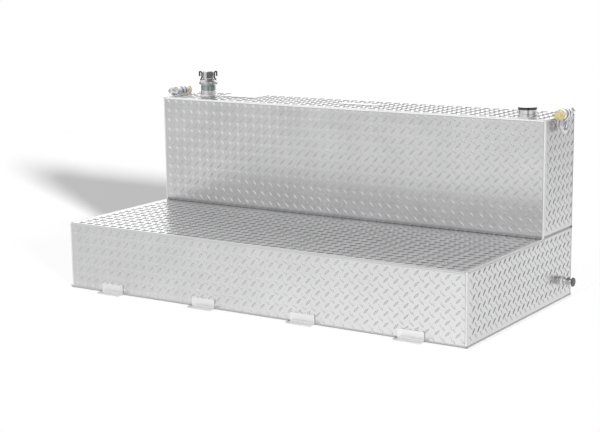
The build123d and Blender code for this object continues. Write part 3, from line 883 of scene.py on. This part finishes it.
def add_threads():
    """Each thread's centre, way, radius, start, length, ridge height, metal and body."""
    up, out = (0, 0, 1), (1, 0, 0)
    neck = (FILL_CENTRE, up, FILL_NECK_R, 0.0150, 0.0092, 0.0002, turned_aluminium, "tank")
    tube = (DRAIN_CENTRE, out, DRAIN_TUBE_R, 0.0140, 0.0030, 0.0006, bright_steel, "tank")
    plug = (DRAIN_CENTRE, out, DRAIN_PLUG_R, 0.0255, 0.0070, 0.0002, black_steel, "drain_lid")
    add_thread("fill_neck_thread", *neck)
    add_thread("drain_tube_thread", *tube)
    add_thread("drain_plug_thread", *plug)


# Labels


def add_label(name, centre, size):
    """Thin rounded plate with soft top edges."""
    outline = []
    for corner in range(4):
        quarter = corner * math.pi / 2
        middle = Vector((
            math.copysign(size[0] / 2 - LABEL_CORNER, math.cos(quarter + math.pi / 4)),
            math.copysign(size[1] / 2 - LABEL_CORNER, math.sin(quarter + math.pi / 4)),
        ))
        for angle in np.linspace(quarter, quarter + math.pi / 2, LABEL_CORNER_POINTS):
            outline.append((middle, Vector((math.cos(angle), math.sin(angle)))))
    low = HEIGHT + LABEL_LIFT
    edge = low + LABEL_THICK * LABEL_EDGE_START
    layers = ((low, 0.0), (edge, 0.0), (low + LABEL_THICK, LABEL_EDGE))
    points = []
    for z, inset in layers:
        for middle, arm in outline:
            spot = Vector(centre) + middle + arm * (LABEL_CORNER - inset)
            points.append((spot.x, spot.y, z))
    count = len(outline)
    faces = [tuple(range(count))[::-1], tuple(range(2 * count, 3 * count))]
    for first in (0, count):
        for i in range(count):
            j = (i + 1) % count
            faces.append((first + i, first + j, first + count + j, first + count + i))
    piece = add_piece(f"{name}_plate", points, faces, white_label, smooth=False)
    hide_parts(name)


# Stage


def add_floor():
    corners = [(x, y, 0.0) for x, y in zip((*FLOOR_X, *FLOOR_X[::-1]), np.repeat(FLOOR_Y, 2))]
    mesh = bpy.data.meshes.new("floor")
    mesh.from_pydata(corners, [], [(0, 1, 2, 3)])
    mesh.materials.append(floor_finish())
    floor = bpy.data.objects.new("floor", mesh)
    bpy.context.scene.collection.objects.link(floor)


def add_camera():
    forward = Vector(
        (
            -math.sin(CAMERA_YAW) * math.cos(CAMERA_PITCH),
            math.cos(CAMERA_YAW) * math.cos(CAMERA_PITCH),
            -math.sin(CAMERA_PITCH),
        )
    )
    level_right = Vector((math.cos(CAMERA_YAW), math.sin(CAMERA_YAW), 0.0))
    level_up = level_right.cross(forward)
    right = level_right * math.cos(CAMERA_ROLL) + level_up * math.sin(CAMERA_ROLL)
    up = level_up * math.cos(CAMERA_ROLL) - level_right * math.sin(CAMERA_ROLL)
    turn = Matrix((right, up, -forward)).transposed().to_4x4()
    data = bpy.data.cameras.new("camera")
    data.lens = CAMERA_LENS
    data.sensor_width = 36.0
    data.clip_end = 300.0
    camera = bpy.data.objects.new("camera", data)
    camera.matrix_world = Matrix.Translation(CAMERA_PLACE) @ turn
    bpy.context.scene.collection.objects.link(camera)
    bpy.context.scene.camera = camera


def add_light():
    """One broad soft sun from the front right, and an even white surround."""
    data = bpy.data.lights.new("sun", "SUN")
    data.energy = SUN_LEVEL
    data.angle = SUN_SOFTNESS
    sun = bpy.data.objects.new("sun", data)
    sun.rotation_mode = "QUATERNION"
    sun.rotation_quaternion = SUN_FROM.to_track_quat("Z", "Y")
    sun.visible_glossy = False
    bpy.context.scene.collection.objects.link(sun)
    world = bpy.data.worlds.new("surround")
    world.use_nodes = True
    bpy.context.scene.world = world
    graph = Graph(world.node_tree)
    seen = graph.node("ShaderNodeLightPath", output="Is Camera Ray")
    mirrored = graph.node("ShaderNodeLightPath", output="Is Glossy Ray")
    way = graph.node("ShaderNodeTexCoord", output="Generated")
    rise = graph.node("ShaderNodeSeparateXYZ", inputs={"Vector": way}, output="Z")
    room = graph.ramp(rise * 0.5 + 0.5, *ROOM_LEVELS)
    for direction, start, middle, share in ROOM_PLACES:
        toward = Vector(direction).normalized()
        inputs = {0: way, 1: toward}
        facing = graph.node("ShaderNodeVectorMath", {"operation": "DOT_PRODUCT"}, inputs, output=1)
        room *= 1 + (share - 1) * graph.ramp(facing, (start, 0.0), (middle, 1.0))
    level = SKY_LEVEL + seen * (1 - SKY_LEVEL) + mirrored * (room - SKY_LEVEL)
    background = graph.tree.nodes["Background"]
    background.inputs["Color"].default_value = (1.0, 1.0, 1.0, 1.0)
    graph.feed(background.inputs["Strength"], level)


tread_plate = tread_finish()
sheet_aluminium = smooth_finish()
weld_metal = weld_finish("weld_bead", (0.42, 0.42, 0.43), (0.93, 0.93, 0.93))
seam_metal = weld_finish("seam_bead", (0.28, 0.28, 0.29), (0.58, 0.58, 0.59))
turned_aluminium = turned_finish("turned_aluminium", (0.72, 0.72, 0.73), (0.84, 0.84, 0.85), 0.14)
zinc_steel = turned_finish("zinc_steel", (0.28, 0.35, 0.33), (0.46, 0.52, 0.50), 0.18)
bright_steel = turned_finish("bright_steel", (0.70, 0.70, 0.71), (0.84, 0.84, 0.85), 0.10)
galvanised_steel = galvanised_finish()
yellow_zinc = yellow_zinc_finish()
black_steel = black_finish()
dark_steel = turned_finish("dark_steel", (0.09, 0.09, 0.095), (0.24, 0.24, 0.25), 0.20)
plated_pin = pin_finish()
gripped_cap = gripped_cap_finish()
seal_rubber = rubber_finish()
white_label = label_finish()

FINISHES = {
    "tread_plate": tread_plate,
    "sheet_aluminium": sheet_aluminium,
    "weld_bead": weld_metal,
    "turned_aluminium": turned_aluminium,
    "zinc_steel": zinc_steel,
    "bright_steel": bright_steel,
    "galvanised_steel": galvanised_steel,
    "yellow_zinc": yellow_zinc,
    "black_steel": black_steel,
    "seal_rubber": seal_rubber,
    "white_label": white_label,
}
# Nodes whose metal differs from that of their slot
NODE_FINISHES = {
    "cam_lever_left": dark_steel,
    "cam_lever_right": dark_steel,
    "fill_cap": gripped_cap,
    "shackle_pin_left": plated_pin,
    "shackle_pin_right": plated_pin,
}


def dress_nodes():
    """Give every CAD node its own finish, or else that of its slot in the record."""
    for subpart in frame["record"]["subparts"]:
        node = subpart["node"]
        data = frame["nodes"][node].data
        data.materials.clear()
        data.materials.append(NODE_FINISHES.get(node, FINISHES[subpart["material_slot"]]))


dress_nodes()
add_tread()
add_weld_beads()
add_lug_welds()
add_vent_shade_sheet()
add_threads()
for label_name, (label_centre, label_size) in LABELS.items():
    add_label(label_name, label_centre, label_size)
add_floor()
add_camera()
add_light()
bpy.context.scene.view_settings.view_transform = "Standard"
